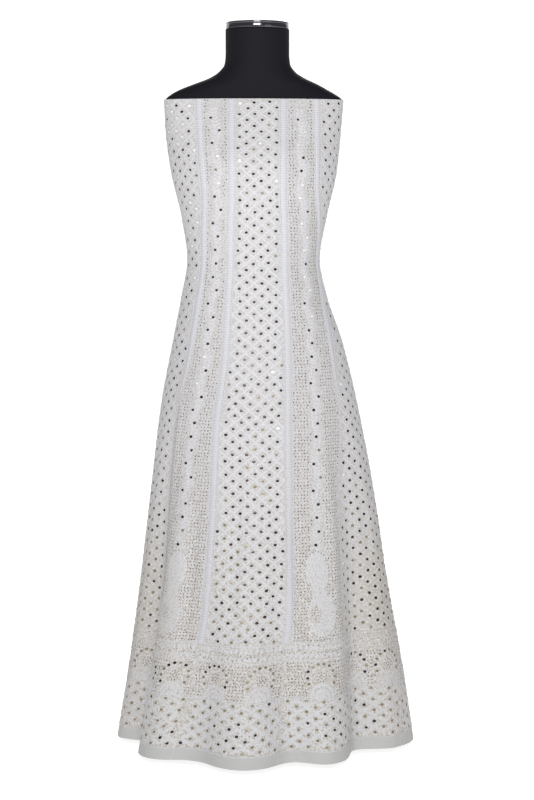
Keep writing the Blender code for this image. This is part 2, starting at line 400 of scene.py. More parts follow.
def feed(material, source, output, node, socket):
    material.node_tree.links.new(source.outputs[output], node.inputs[socket])


def new_material(name, color, roughness, metallic=0.0, grain=None, **sockets):
    """A material with its grain. Returns it with its Principled shader and its texture coordinates."""
    material = bpy.data.materials.new(name)
    material.use_nodes = True
    shader = material.node_tree.nodes["Principled BSDF"]
    shader.inputs["Base Color"].default_value = linear(color)
    shader.inputs["Roughness"].default_value = roughness
    shader.inputs["Metallic"].default_value = metallic
    for socket, value in sockets.items():
        shader.inputs[socket.replace("_", " ")].default_value = value
    material.diffuse_color = linear(color)
    coordinates = add_node(material, "TexCoord")
    if grain:
        noise = add_node(
            material, "TexNoise", values={"Scale": 1 / (grain.size * MM), "Detail": grain.detail},
            links={"Vector": (coordinates, "Object")},
        )
        bump = add_node(
            material, "Bump", values={"Strength": grain.strength, "Distance": grain.depth * MM},
            links={"Height": (noise, "Fac")},
        )
        feed(material, bump, "Normal", shader, "Normal")
    return material, shader, coordinates


# %% [markdown]
# ## Georgette
# The ground is cotton georgette, woven from tightly twisted yarn, so it is matt and slightly crinkled. Its
# real yarns, about 0.3 mm apart, are too fine for the render, so the crinkle is drawn at 1.6 mm. Short white
# stitches about 3 mm long fill it, so the cloth shows between them as darker flecks: partly its own greyer
# tone, partly painted shade between the stitches. Low on the skirt the ground is painted darker, a painted
# shade, and a little yellower. The bare margin at the hem has no stitching and is painted plain grey, a
# painted shade for the dark inside of the skirt seen through its sheer cloth.

# %% Georgette material
MARGIN_TOP = 24.0
CRINKLE = Grain(size=1.6, depth=0.6, strength=0.35, detail=2.0)
STITCH_SIZE = 3.2
georgette, georgette_shader, cloth_place = new_material(
    "georgette_woven", "B8B5B2", 0.85, grain=CRINKLE, Sheen_Weight=0.1
)
up_the_cloth = add_node(georgette, "SeparateXYZ", links={"Vector": (cloth_place, "UV")})
fill_stitches = add_node(
    georgette, "TexNoise", values={"Scale": 1 / (STITCH_SIZE * MM), "Detail": 1.0},
    links={"Vector": (cloth_place, "Object")},
)
# Between the stitches the ground shows as darker flecks: partly its own greyer tone, partly painted shade.
stitch_mask = add_node(
    georgette, "MapRange", values={"From Min": 0.4, "From Max": 0.6}, links={"Value": (fill_stitches, "Fac")}
)
# Painted shade: the ground is darker, and a little yellower, low on the skirt.
low_shade_mask = add_node(
    georgette, "MapRange", values={"From Min": 0.1, "From Max": 0.7}, links={"Value": (up_the_cloth, "Y")}
)
# Painted shade: the bare margin is grey for the dark inside of the skirt seen through its sheer cloth.
sheer_margin_shade_mask = add_node(
    georgette, "MapRange", values={"From Min": (MARGIN_TOP - 1) * MM, "From Max": (MARGIN_TOP + 1) * MM},
    links={"Value": (up_the_cloth, "Y")},
)
ground_tone_with_low_shade = add_node(
    georgette, "Mix", data_type="RGBA", values={TONE_A: linear("A29B92"), TONE_B: linear("B0ADAC")},
    links={"Factor": (low_shade_mask, "Result")},
)
stitched_tone = add_node(
    georgette, "Mix", data_type="RGBA", values={TONE_B: linear("C1C0C1")},
    links={"Factor": (stitch_mask, "Result"), TONE_A: (ground_tone_with_low_shade, MIXED)},
)
cloth_tone = add_node(
    georgette, "Mix", data_type="RGBA", values={TONE_A: linear("A9A9A7")},
    links={"Factor": (sheer_margin_shade_mask, "Result"), TONE_B: (stitched_tone, MIXED)},
)
feed(georgette, cloth_tone, MIXED, georgette_shader, "Base Color")
print("georgette ready")

# %% [markdown]
# ## Embroidery floss
# The floss is mercerised cotton: whiter than the ground, with a soft shine along its twist. It is a little
# greyer near the hem, a painted shade, and darker and yellower on the outer kalis between hip and border, a
# painted shade where the light falls off at the skirt's sides. Its real strands are too fine for the render,
# so their twist is drawn at 1.2 mm, and the shade from stitch to stitch at the same 3.2 mm as on the ground.

# %% Floss material
TWIST = Grain(size=1.2, depth=0.5, strength=0.5, detail=1.0)
# The first mask paints shade low on the skirt; the other two bound the painted shade on its outer sides.
# Heights in metres between which each mask goes from its least to one.
FLOSS_MASKS = {"low_shade": (0.1, 0.75, 0.0), "below_hip": (0.6, 0.35, 0.0), "above_border": (0.14, 0.26, 0.25)}
floss, floss_shader, floss_place = new_material(
    "mercerised_floss", "C3C2C5", 0.6, grain=TWIST, Sheen_Weight=0.15, Sheen_Roughness=0.4
)
floss_spot = add_node(floss, "SeparateXYZ", links={"Vector": (floss_place, "Object")})
floss_masks = {
    name: add_node(
        floss, "MapRange", values={"From Min": start, "From Max": end, "To Min": least},
        links={"Value": (floss_spot, "Z")},
    )
    for name, (start, end, least) in FLOSS_MASKS.items()
}
# Painted shade: the floss is a little greyer near the hem.
floss_tone_with_low_shade = add_node(
    floss, "Mix", data_type="RGBA", values={TONE_A: linear("BABABC"), TONE_B: linear("C3C2C5")},
    links={"Factor": (floss_masks["low_shade"], "Result")},
)
# Painted shade: the floss is darker and yellower on the skirt's outer sides between hip and border.
aside = add_node(floss, "Math", operation="ABSOLUTE", links={0: (floss_spot, "X")})
outer = add_node(
    floss, "MapRange", values={"From Min": 0.14, "From Max": 0.25}, links={"Value": (aside, "Value")}
)
edge_shade_rows = add_node(
    floss, "Math", operation="MINIMUM",
    links={0: (floss_masks["below_hip"], "Result"), 1: (floss_masks["above_border"], "Result")},
)
edge_shade = add_node(floss, "Math", operation="MULTIPLY", links={0: (outer, "Result"), 1: (edge_shade_rows, "Value")})
floss_tone_with_edge_shade = add_node(
    floss, "Mix", data_type="RGBA", values={TONE_B: linear("AAA59B")},
    links={"Factor": (edge_shade, "Value"), TONE_A: (floss_tone_with_low_shade, MIXED)},
)
stitches = add_node(
    floss, "TexNoise", values={"Scale": 1 / (STITCH_SIZE * MM), "Detail": 1.0},
    links={"Vector": (floss_place, "Object")},
)
stitch_shade = add_node(
    floss, "MapRange", values={"From Min": 0.35, "From Max": 0.65, "To Min": 0.93, "To Max": 1.06},
    links={"Value": (stitches, "Fac")},
)
floss_shaded = add_node(
    floss, "Mix", data_type="RGBA", blend_type="MULTIPLY", values={"Factor": 1.0},
    links={TONE_A: (floss_tone_with_edge_shade, MIXED), TONE_B: (stitch_shade, "Result")},
)
feed(floss, floss_shaded, MIXED, floss_shader, "Base Color")
print("floss ready")

# %% [markdown]
# ## Mirrors and metal dots
# The mirrors are oval chips of silvered glass, 8 mm across. They show what they face, and that reflection is
# painted into their colour: most are painted dark gunmetal for the dim room, a few are painted white glints,
# and some a bronze reflection of the floor. The ground dots are flat metal strip, pressed through the cloth,
# and their dark dull gold is partly the strip's own tone and partly a painted reflection of the dim room.
# Silvering and strip tarnish in patches, so no two chips have quite the same tone or shine.

# %% Mirror and strip materials
TARNISH_SIZE = 9.0
Finish = namedtuple("Finish", "name tarnished clean smooth rough metallic")
# Each glass finish is a painted reflection: dark for the dim room, bronze for the floor, bright for a glint.
FINISHES = [
    Finish("silvered_glass_painted_dark_reflection", "251F1B", "423A34", 0.22, 0.4, 0.5),
    Finish("silvered_glass_painted_bronze_reflection", "70654D", "948971", 0.38, 0.52, 0.25),
    Finish("silvered_glass_painted_glint", "E2E0DA", "FBFAF8", 0.12, 0.3, 0.15),
    # The strip's dark dull gold is partly its own tone and partly a painted reflection of the dim room.
    Finish("pressed_metal_strip", "4B433A", "6E6459", 0.4, 0.6, 0.3),
]
WORK_MATERIALS = [floss]
for finish in FINISHES:
    metal, metal_shader, metal_place = new_material(
        finish.name, finish.clean, finish.smooth, finish.metallic
    )
    tarnish = add_node(
        metal, "TexNoise", values={"Scale": 1 / (TARNISH_SIZE * MM), "Detail": 1.0},
        links={"Vector": (metal_place, "Object")},
    )
    patches = add_node(
        metal, "MapRange", values={"From Min": 0.35, "From Max": 0.65}, links={"Value": (tarnish, "Fac")}
    )
    metal_tone = add_node(
        metal, "Mix", data_type="RGBA", links={"Factor": (patches, "Result")},
        values={TONE_A: linear(finish.clean), TONE_B: linear(finish.tarnished)},
    )
    feed(metal, metal_tone, MIXED, metal_shader, "Base Color")
    wear = add_node(
        metal, "MapRange", values={"To Min": finish.smooth, "To Max": finish.rough},
        links={"Value": (patches, "Result")},
    )
    feed(metal, wear, "Result", metal_shader, "Roughness")
    WORK_MATERIALS.append(metal)
FLOSS, DARK_REFLECTION, BRONZE_REFLECTION, GLINT_REFLECTION, STRIP = range(5)
print("embroidery materials:", len(WORK_MATERIALS))

# %% [markdown]
# ## Sheets of cloth
# A kali is a closed wall as thick as the cloth: an outer face, an inner face and a cut edge all round. Its
# UV map is the flat cloth itself in metres, which is what a weave or a printed margin follows.

# %% Mesh helper and the ten kalis
def build_mesh(name, points, faces, materials, slots=None, uv=None):
    """A smooth object from points in millimetres."""
    mesh = bpy.data.meshes.new(name)
    mesh.from_pydata((np.asarray(points) * MM).tolist(), [], faces)
    for material in materials:
        mesh.materials.append(material)
    if slots is not None:
        mesh.polygons.foreach_set("material_index", np.asarray(slots, dtype=np.int32))
    if uv is not None:
        corner = np.empty(len(mesh.loops), dtype=np.int32)
        mesh.loops.foreach_get("vertex_index", corner)
        layer = mesh.uv_layers.new(name="cloth")
        layer.data.foreach_set("uv", (np.asarray(uv) * MM)[corner].ravel())
    mesh.shade_smooth()
    thing = bpy.data.objects.new(name, mesh)
    bpy.context.scene.collection.objects.link(thing)
    return thing


def grid_faces(rows, columns, start=0, flip=False):
    faces = []
    for r in range(rows - 1):
        for c in range(columns - 1):
            a = start + r * columns + c
            face = [a, a + 1, a + columns + 1, a + columns]
            faces.append(face[::-1] if flip else face)
    return faces


def make_kali(kali):
    cloth = MAPS[kali.name]
    outer = cloth.points.reshape(-1, 3)
    inner = outer - cloth.normals.reshape(-1, 3) * WALL
    count = len(outer)
    faces = grid_faces(MAP_ROWS, MAP_COLUMNS) + grid_faces(MAP_ROWS, MAP_COLUMNS, count, flip=True)
    low = list(range(MAP_COLUMNS))
    right = [r * MAP_COLUMNS + MAP_COLUMNS - 1 for r in range(1, MAP_ROWS)]
    high = [count - 1 - c for c in range(1, MAP_COLUMNS)]
    left = [r * MAP_COLUMNS for r in range(MAP_ROWS - 2, -1, -1)]
    rim = low + right + high + left
    for a, b in zip(rim, rim[1:]):
        faces.append([b, a, a + count, b + count])
    u = cloth.half[:, None] * np.linspace(-1, 1, MAP_COLUMNS)
    v = np.broadcast_to(cloth.v[:, None], u.shape)
    uv = np.tile(np.stack([u.ravel(), v.ravel()], axis=-1), (2, 1))
    sheet = build_mesh("cloth_" + kali.name, np.concatenate([outer, inner]), faces, [georgette], uv=uv)
    edges = sheet.data.attributes.new("sharp_edge", "BOOLEAN", "EDGE")
    ends = np.empty(len(sheet.data.edges) * 2, dtype=np.int32)
    sheet.data.edges.foreach_get("vertices", ends)
    rims = np.isin(ends.reshape(-1, 2) % count, rim).all(axis=1)
    edges.data.foreach_set("value", rims & (np.abs(np.diff(ends.reshape(-1, 2))[:, 0]) != count))
    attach(sheet, "root")
    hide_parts(kali.name)
    return sheet


SHEETS = {kali.name: make_kali(kali) for kali in KALIS}
print("kalis:", len(SHEETS))

# %% [markdown]
# ## Small motifs, stamped many times
# Thousands of mirrors and leaves are joined into one mesh for each kali, which is much lighter than
# thousands of objects. A motif is a few points in its own flat millimetres. Stamping turns, scales and
# shifts it on the map, and only then lays it on the cloth, so it bends with the fold.

# %% Stamping and stitched lines
class Needlework:
    """Collects the points and faces of the stitches on one piece of cloth."""

    def __init__(self, cloth, band_feet, glints, bronze):
        self.cloth = cloth
        self.band_feet = band_feet
        self.glints = glints
        self.bronze = bronze
        self.phase = chance.uniform(0, math.tau)
        self.points = []
        self.faces = []
        self.slots = []
        self.count = 0

    def lay(self, u, v, lift, faces, slot):
        points = place(self.cloth, np.ravel(u), np.ravel(v), np.ravel(lift))
        faces = np.asarray(faces) + self.count
        self.points.append(points)
        self.faces.extend(faces.tolist())
        self.slots.extend([slot] * len(faces))
        self.count += len(points)

    def stamp(self, motif, spots, slot):
        """Lays a motif at each spot, a row of u, v, turn in degrees and size."""
        if not len(spots):
            return
        spots = np.asarray(spots, dtype=float)
        shape, faces = motif
        turn = np.radians(spots[:, 2:3])
        size = spots[:, 3:4]
        u = spots[:, :1] + size * (shape[:, 0] * np.cos(turn) - shape[:, 1] * np.sin(turn))
        v = spots[:, 1:2] + size * (shape[:, 0] * np.sin(turn) + shape[:, 1] * np.cos(turn))
        lift = size * shape[:, 2]
        starts = np.arange(len(spots))[:, None, None] * len(shape)
        self.lay(u, v, lift, (np.asarray(faces)[None] + starts).reshape(-1, len(faces[0])), slot)

    def line(self, path, width, height, slot):
        """Couches a raised thread along a path of (u, v) points."""
        path = np.asarray(path, dtype=float)
        along = np.vstack([path[1:], path[-1:]]) - np.vstack([path[:1], path[:-1]])
        along /= np.linalg.norm(along, axis=1, keepdims=True)
        side = np.stack([along[:, 1], -along[:, 0]], axis=-1) * width / 2
        profile = np.array([(-1, -0.1), (-0.6, 0.8), (0, 1), (0.6, 0.8), (1, -0.1)])
        flat = path[:, None] + side[:, None] * -profile[:, :1]
        lift = np.broadcast_to(profile[:, 1] * height, flat.shape[:2])
        count, wide = len(path), len(profile)
        faces = []
        for r in range(count - 1):
            for c in range(wide - 1):
                a, b = r * wide + c, (r + 1) * wide + c
                faces.append([a, b, b + 1, a + 1])
        self.lay(flat[..., 0], flat[..., 1], lift, faces, slot)

    def bars(self, starts, ends, width, height, slot):
        """Short straight stitches, each a small ridge from a start to an end."""
        if not len(starts):
            return
        starts, ends = np.asarray(starts, dtype=float), np.asarray(ends, dtype=float)
        along = ends - starts
        along /= np.linalg.norm(along, axis=1, keepdims=True)
        side = np.stack([along[:, 1], -along[:, 0]], axis=-1) * width / 2
        u, v, lift = [], [], []
        for t in (0.0, 0.5, 1.0):
            middle = starts + (ends - starts) * t
            for sideways, rise in ((1, -0.1), (0, 1.0), (-1, -0.1)):
                spot = middle + side * sideways
                u.append(spot[:, 0])
                v.append(spot[:, 1])
                lift.append(np.full(len(spot), rise * height))
        quads = [[a, a + 3, a + 4, a + 1] for a in (0, 1, 3, 4)]
        base = np.arange(len(starts))[:, None, None] * 9
        faces = (np.array(quads)[None] + base).reshape(-1, 4)
        self.lay(np.array(u).T, np.array(v).T, np.array(lift).T, faces, slot)

    def finish(self, name):
        points = np.concatenate(self.points)
        work = build_mesh(name, points, self.faces, WORK_MATERIALS, self.slots)
        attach(work, "root")
        return work


print("stitches: stamp, line, bars")

# %% [markdown]
# ## The motifs
# A mirror chip is a shallow oval dome of glass, held by a ring of buttonhole stitch. A leaf is two slopes of
# satin stitch that meet at a raised rib. A metal dot is a tiny cushion.

# %% Motif shapes
CHIP_RADIUS = 3.6
CHIP_STRETCH = (1.15, 0.9, 1)
RING_INNER, RING_CREST, RING_OUTER = 3.4, 3.9, 4.6
CHIP_ROOM = 5.4
DOT_RADIUS = 1.45
DOT_SIDES = 5


def circle(radius, height, sides):
    """Points at even steps round the origin, at one height."""
    turn = np.linspace(0, math.tau, sides, endpoint=False)
    return np.stack([radius * np.cos(turn), radius * np.sin(turn), np.full(sides, height)], axis=-1)


def disc(radius, rise, sides):
    """A low dome: a rim just off the cloth and a raised middle."""
    points = np.vstack([circle(radius, 0.05, sides), [(0, 0, rise)]])
    return points, [[s, (s + 1) % sides, sides] for s in range(sides)]


def stitched_ring(inner, crest, outer, rise, sides):
    """A ridge of stitches round a mirror."""
    rows = [circle(*row, sides) for row in ((inner, rise * 0.5), (crest, rise), (outer, -0.1))]
    faces = []
    for r in range(2):
        for s in range(sides):
            a, b = r * sides + s, r * sides + (s + 1) % sides
            faces.append([a, a + sides, b + sides, b])
    return np.concatenate(rows), faces


def leaf(length, width, rise):
    """A pointed leaf from its root at the origin towards +v."""
    half = width / 2
    points = [
        (0, 0, 0), (0, length, 0),
        (-half * 0.8, length * 0.28, 0), (-half, length * 0.52, 0), (-half * 0.6, length * 0.8, 0),
        (half * 0.8, length * 0.28, 0), (half, length * 0.52, 0), (half * 0.6, length * 0.8, 0),
        (0, length * 0.28, rise), (0, length * 0.52, rise), (0, length * 0.8, rise * 0.8),
    ]
    faces = [
        [0, 8, 2], [2, 8, 9], [2, 9, 3], [3, 9, 10], [3, 10, 4], [4, 10, 1],
        [0, 5, 8], [5, 9, 8], [5, 6, 9], [6, 10, 9], [6, 7, 10], [7, 1, 10],
    ]
    return np.array(points), faces


chip_points, chip_faces = disc(CHIP_RADIUS, rise=0.5, sides=8)
CHIP = (chip_points * CHIP_STRETCH, chip_faces)
ring_points, ring_faces = stitched_ring(RING_INNER, RING_CREST, RING_OUTER, rise=1.0, sides=9)
CHIP_RING = (ring_points * CHIP_STRETCH, ring_faces)
DOT = disc(DOT_RADIUS, rise=0.55, sides=DOT_SIDES)
SPECK = disc(DOT_RADIUS, rise=1.4, sides=DOT_SIDES)
LEAF = leaf(length=11, width=5.2, rise=1.2)
PETAL = leaf(length=9, width=5.0, rise=1.0)
print("motifs: chip, ring, dot, leaf, petal, speck")

# %% [markdown]
# ## Trellis kalis
# The middle and outer kalis carry a diamond trellis, with a mirror in each diamond. Columns stand about
# 14 mm apart and a column repeats every 25 mm. The kali widens faster than the diamonds do, so the skirt
# has more of them across than the bodice. On the side kalis the flare also pulls them wider and flatter.

# %% Trellis
# Half a diamond, low on the skirt and high on the bodice, and the width of its bars of stitching.
Diamond = namedtuple("Diamond", "across_low across_high rise_low rise_high bar")
MIDDLE_DIAMOND = Diamond(14.4, 14.4, 12.5, 12.5, 4.1)
SIDE_DIAMOND = Diamond(16.5, 13.8, 11.0, 12.7, 4.4)
FLARE = (250.0, 900.0)
BAR_HEIGHT = 0.6
BAR_TUCK = 2.0
BAND_HALF = 7.4
BORDER_TOP = 233.0
BORDER_SEAM = 2.0
TOP_CLEAR = 1.0
CHIP_CLEAR = 3.0
# How far up the cloth a seam's band starts. It is the border's top, if no other is given here.
BAND_FOOT = {back + "outer_" + side: 700.0 for back in ("", "back_") for side in ("left", "right")}
BAND_FOOT |= {"side_left": math.inf, "side_right": math.inf}


def half_width(cloth, v):
    return np.interp(v, cloth.v, cloth.half)


def seam_room(work, v):
    """How far a kali's left and right halves are free of their seam's band."""
    half = half_width(work.cloth, v)
    return [half - np.where(v > foot, BAND_HALF, BORDER_SEAM) for foot in work.band_feet]


# Distances up the cloth between which mirrors shrink, lose their painted bronze reflection, and get painted
# glints.
SHRINK, BRONZE_REFLECTION_FADE, GLINT_RISE = (450, 1000), (186, 806), (690, 990)
CHIP_SIZES, CHIP_SPREAD = (0.94, 0.84), (0.9, 1.05)
CHIP_LEAN = 8.0
PATCH_ACROSS, PATCH_UP = 26.0, 70.0
STRAY = 0.5
# Shares of the mirrors, each a painted reflection: the fewest painted as glints or bronze reflections,
# and those that patches and the border add.
LEAST_GLINT, LEAST_BRONZE_REFLECTION, PATCH_BRONZE_REFLECTION, BORDER_BRONZE_REFLECTION = 0.012, 0.05, 0.8, 0.25


def set_mirrors(work, spots):
    """Chips with their stitched rings, each with a painted reflection: mostly dark, with patches
    of painted bronze reflection low down and painted glints high up.
    """
    spots = np.asarray(spots, dtype=float)
    if not len(spots):
        return
    u, v = spots.T
    size = np.interp(v, SHRINK, CHIP_SIZES) * chance.uniform(*CHIP_SPREAD, len(spots))
    full = np.column_stack([spots, chance.normal(0, CHIP_LEAN, len(spots)), size])
    full[:, :2] += chance.normal(0, STRAY, (len(spots), 2))
    pick = chance.random(len(spots))
    patch = 0.5 + 0.5 * np.sin(u / PATCH_ACROSS + work.phase) * np.sin(v / PATCH_UP + 2 * work.phase)
    low = np.interp(v, BRONZE_REFLECTION_FADE, (1, 0))
    bronze = LEAST_BRONZE_REFLECTION + (PATCH_BRONZE_REFLECTION * patch + work.bronze) * low + BORDER_BRONZE_REFLECTION * (v < BORDER_TOP)
    glint = LEAST_GLINT + work.glints * np.interp(v, GLINT_RISE, (0, 1))
    # Each chip's reflection is painted by its material: dark, bronze or a white glint.
    work.stamp(CHIP, full[pick > bronze + glint], DARK_REFLECTION)
    work.stamp(CHIP, full[(pick > glint) & (pick <= bronze + glint)], BRONZE_REFLECTION)
    work.stamp(CHIP, full[pick <= glint], GLINT_REFLECTION)
    work.stamp(CHIP_RING, full, FLOSS)


# How far a hand's work drifts and quivers, and the cloth it covers in a radian of each, along and across.
DRIFT, QUIVER = 1.3, 0.8
DRIFT_ALONG, RISE_ALONG, RISE_ACROSS = 31.0, 43.0, 15.0
QUIVER_ALONG, QUIVER_ACROSS = 11.0, 9.0


def wander(work, spots):
    """Shifts spots by a millimetre or two, in slow waves, as a hand does."""
    u, v = np.array(spots, dtype=float).T
    aside = DRIFT * np.sin(v / DRIFT_ALONG + work.phase)
    aside += QUIVER * np.sin(v / QUIVER_ALONG + u / QUIVER_ACROSS)
    rise = DRIFT * np.sin(u / RISE_ACROSS + v / RISE_ALONG + 2 * work.phase)
    return np.column_stack([u + aside, v + rise])


def trellis(work, low, high, diamond, shift=0.0):
    """Diamonds with a mirror in each, between two distances up the cloth. shift moves its columns."""
    cloth = work.cloth
    rows = [low + diamond.rise_low / 2]
    while rows[-1] < high:
        rows.append(rows[-1] + np.interp(rows[-1], FLARE, (diamond.rise_low, diamond.rise_high)))
    across = np.interp(rows, FLARE, (diamond.across_low, diamond.across_high))
    reach = int(cloth.half.max() // across.min()) + 1
    mirrors, starts, ends = [], [], []
    for j, v in enumerate(rows):
        left, right = seam_room(work, v)
        for i in range(-reach, reach + 1):
            u = (i + shift) * across[j]
            if (i + j) % 2 == 0:
                if CHIP_ROOM - left < u < right - CHIP_ROOM and v < high - CHIP_CLEAR:
                    mirrors.append((u, v))
                continue
            for other in (j - 1, j + 1):
                if not 0 <= other < len(rows) or v > high or rows[other] > high:
                    continue
                u_end = (i + 1 + shift) * across[other]
                left_end, right_end = seam_room(work, rows[other])
                if -left_end - BAR_TUCK < u and u_end < right_end + BAR_TUCK:
                    starts.append((u, v))
                    ends.append((u_end, rows[other]))
    work.bars(wander(work, starts), wander(work, ends), diamond.bar, BAR_HEIGHT, FLOSS)
    set_mirrors(work, wander(work, mirrors))


print("trellis diamond", MIDDLE_DIAMOND.across_low * 2, "by", MIDDLE_DIAMOND.rise_low * 2, "mm")

# %% [markdown]
# ## Paisley and vine kalis
# The kalis between them have a ground of metal dots, a climbing vine of paired leaves, and one large
# paisley at the foot. A paisley is a round body with a neck that bends one way and then the other. Five
# Bezier curves give its outline. Petals that point away from its heart fill it, and eyelets fill the heart.

# %% Paisley and vine
DOT_STEP = 6.6
DOT_ROOM = 2.0
DOT_STRAY = 0.45
DOT_SIZES = (0.6, 1.15)
ROW_STEP, ROW_SHIFT = DOT_STEP * 0.95, 0.2
GROUND_FOOT, GROUND_HEAD = 3, 2
PAISLEY_FOOT = 242.0
PAISLEY_CURVES = [
    ((-6, 166), (-32, 162), (-36, 122), (-18, 92)),
    ((-18, 92), (-12, 80), (-28, 64), (-27, 40)),
    ((-27, 40), (-26, -10), (34, -10), (33, 40)),
    ((33, 40), (32, 68), (8, 76), (14, 96)),
    ((14, 96), (20, 114), (24, 162), (-6, 166)),
]
PAISLEY_HEART = (-11, 46)
PAISLEY_SHIFT = {"front_vine_left": -9.0}
CURVE_STEPS = 16
PETAL_STEP = 4.7
PETAL_EDGE = 3.0
PETAL_LEAN = 9.0
PETAL_SIZES = (0.8, 1.05)
HEART_SIZE = 14.0
HEART_RIM = 15.0
HEART_SLIM = 1.5
EYELET_OUT = 2.0
EYELET_STEP = 6.5
EYELET_SIZE = 0.8
PAISLEY_ROOM = 5.0
VINE_FOOT = PAISLEY_FOOT + 170
VINE_SWAY = 3.5
VINE_WAVE = 76.0
LEAF_STEP = 6.6
VINE_ROOM = 15.0
STEM_START, STEM_CLEAR, STEM_STEP = VINE_FOOT - 14, 4, 6.0
STEM_WIDTH, STEM_HEIGHT = 2.2, 1.0
LEAF_CLEAR = 16
LEAF_LEAN = 52.0
MIRROR_EVERY = 4
MIRROR_ASIDE, MIRROR_UP = 5.0, 3.0


def bezier(curves, steps):
    path = []
    for a, b, c, d in curves:
        a, b, c, d = map(np.array, (a, b, c, d))
        for t in np.linspace(0, 1, steps, endpoint=False):
            path.append(a * (1 - t) ** 3 + 3 * b * t * (1 - t) ** 2 + 3 * c * t * t * (1 - t) + d * t ** 3)
    return np.array(path)


def even_path(path, step):
    """Spots at even steps along a closed path, each with the direction of travel in degrees."""
    closed = np.vstack([path, path[:1]])
    reach = np.concatenate([[0], np.cumsum(np.linalg.norm(np.diff(closed, axis=0), axis=1))])
    at = np.linspace(0, reach[-1], max(3, round(reach[-1] / step)), endpoint=False)
    spots = np.stack([np.interp(at, reach, closed[:, k]) for k in (0, 1)], axis=-1)
    ahead = np.stack([np.interp((at + 1) % reach[-1], reach, closed[:, k]) for k in (0, 1)], axis=-1)
    heading = np.degrees(np.arctan2(*(ahead - spots).T[::-1]))
    return np.column_stack([spots, heading])


def inside(outline, u, v):
    """Whether each spot lies inside an outline, by counting the edges to its right."""
    a, b = outline, np.roll(outline, -1, axis=0)
    spans = (a[:, 1] > v[:, None]) != (b[:, 1] > v[:, None])
    at = a[:, 0] + (v[:, None] - a[:, 1]) * (b[:, 0] - a[:, 0]) / (b[:, 1] - a[:, 1] + 1e-9)
    return (spans & (u[:, None] < at)).sum(axis=1) % 2 == 1


def paisley(work, side, shift):
    """One closely stitched paisley, mirrored by side and moved by shift. Returns the room it takes."""
    outline = bezier(PAISLEY_CURVES, CURVE_STEPS) * (side, 1) + (shift, PAISLEY_FOOT)
    ahead = np.roll(outline, -1, axis=0) - np.roll(outline, 1, axis=0)
    outward = np.stack([ahead[:, 1], -ahead[:, 0]], axis=-1) * side
    outward /= np.linalg.norm(outward, axis=1, keepdims=True)
    heart = np.add(PAISLEY_HEART, (shift, PAISLEY_FOOT))
    low, high = outline.min(axis=0), outline.max(axis=0)
    u, v = np.meshgrid(np.arange(low[0], high[0], PETAL_STEP), np.arange(low[1], high[1], PETAL_STEP))
    u = (u + PETAL_STEP / 2 * (np.arange(len(u)) % 2)[:, None]).ravel()
    v = v.ravel()
    from_heart = np.hypot((u - heart[0]) * HEART_SLIM, v - heart[1])
    inner = inside(outline - outward * PETAL_EDGE, u, v)
    lean = np.degrees(np.arctan2(heart[0] - u, v - heart[1])) + chance.normal(0, PETAL_LEAN, len(u))
    spots = np.column_stack([u, v, lean, chance.uniform(*PETAL_SIZES, len(u))])
    spots[:, :2] += chance.normal(0, STRAY, (len(u), 2))
    rim = even_path(outline + outward * EYELET_OUT, EYELET_STEP)
    work.stamp(PETAL, spots[inner & (from_heart > HEART_RIM)], FLOSS)
    work.stamp(DOT, spots[from_heart < HEART_SIZE] * (1, 1, 1, EYELET_SIZE), STRIP)
    work.stamp(DOT, np.column_stack([rim, np.full(len(rim), EYELET_SIZE)]), STRIP)
    return outline + outward * PAISLEY_ROOM


def vine_sway(v):
    return VINE_SWAY * np.sin(v * math.tau / VINE_WAVE)


def vine(work, top):
    """A stem that sways a little, with leaves in pairs and a mirror in every fourth gap."""
    rows = np.arange(STEM_START, top - STEM_CLEAR, STEM_STEP)
    work.line(np.column_stack([vine_sway(rows), rows]), STEM_WIDTH, STEM_HEIGHT, FLOSS)
    leaves, mirrors = [], []
    for step in range(int((top - LEAF_CLEAR - VINE_FOOT) // LEAF_STEP)):
        v = VINE_FOOT + step * LEAF_STEP
        u = vine_sway(v)
        side = 1 if step // MIRROR_EVERY % 2 else -1
        if step % MIRROR_EVERY == 1:
            mirrors.append((u + side * MIRROR_ASIDE, v + MIRROR_UP))
            leaves.append((u, v, LEAF_LEAN * side, 1.0))
        else:
            leaves += [(u, v, LEAF_LEAN, 1.0), (u, v, -LEAF_LEAN, 1.0)]
    work.stamp(LEAF, leaves, FLOSS)
    set_mirrors(work, mirrors)


def dotted_ground(work, low, high, avoid):
    """Metal dots in nearly square rows, but for the places that avoid says are taken."""
    cloth = work.cloth
    spots = []
    reach = int(cloth.half.max() // DOT_STEP) + 1
    for j, v in enumerate(np.arange(low + GROUND_FOOT, high - GROUND_HEAD, ROW_STEP)):
        left, right = seam_room(work, v)
        u = (np.arange(-reach, reach + 1) + ROW_SHIFT * (j % 2)) * DOT_STEP
        u = u[(u > DOT_ROOM - left) & (u < right - DOT_ROOM)]
        spots.append(np.column_stack([u, np.full(len(u), v)]))
    spots = np.concatenate(spots)
    spots = spots[~avoid(spots[:, 0], spots[:, 1])]
    spots += chance.normal(0, DOT_STRAY, spots.shape)
    turn = chance.uniform(0, 360 / DOT_SIDES, len(spots))
    size = chance.uniform(*DOT_SIZES, len(spots))
    work.stamp(DOT, np.column_stack([spots, turn, size]), STRIP)


print("vine leaf step", LEAF_STEP, "mm, dot step", DOT_STEP, "mm")

# %% [markdown]
# ## The border
# Four rows run round the hem on every kali. From the edge up: a bare margin, a band of wide trellis, a band
# of dots with lotus flowers under arches of mirrors, and a narrow strip of close leaves and metal specks.

